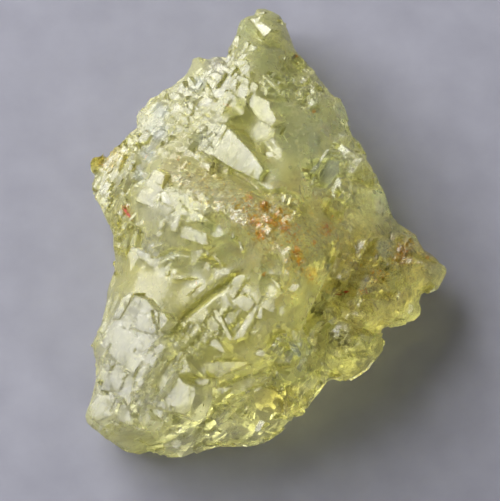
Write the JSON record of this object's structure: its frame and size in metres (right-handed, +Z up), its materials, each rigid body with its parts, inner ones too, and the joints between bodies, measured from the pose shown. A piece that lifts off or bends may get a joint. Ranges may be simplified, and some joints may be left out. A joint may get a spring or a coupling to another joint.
{
  "type": "heliodor crystal",
  "caption": "Rough etched yellow-green beryl crystal, clear with frosty stepped faces, lying on its broken underside.",
  "frame": {"origin": "on the resting face, under the middle of the crystal's box", "axes": "+Y along the crystal's length, from the blunt end towards the pointed tip; +Z up from the resting face; +X across, towards the lobed end"},
  "size_m": [0.0302, 0.0392, 0.0174],
  "materials": {
    "beryl": "clear yellow-green beryl, frosted by etching, with rust-brown stains"
  },
  "bodies": {
    "root": {"heliodor_crystal": "beryl"}
  },
  "joints": []
}
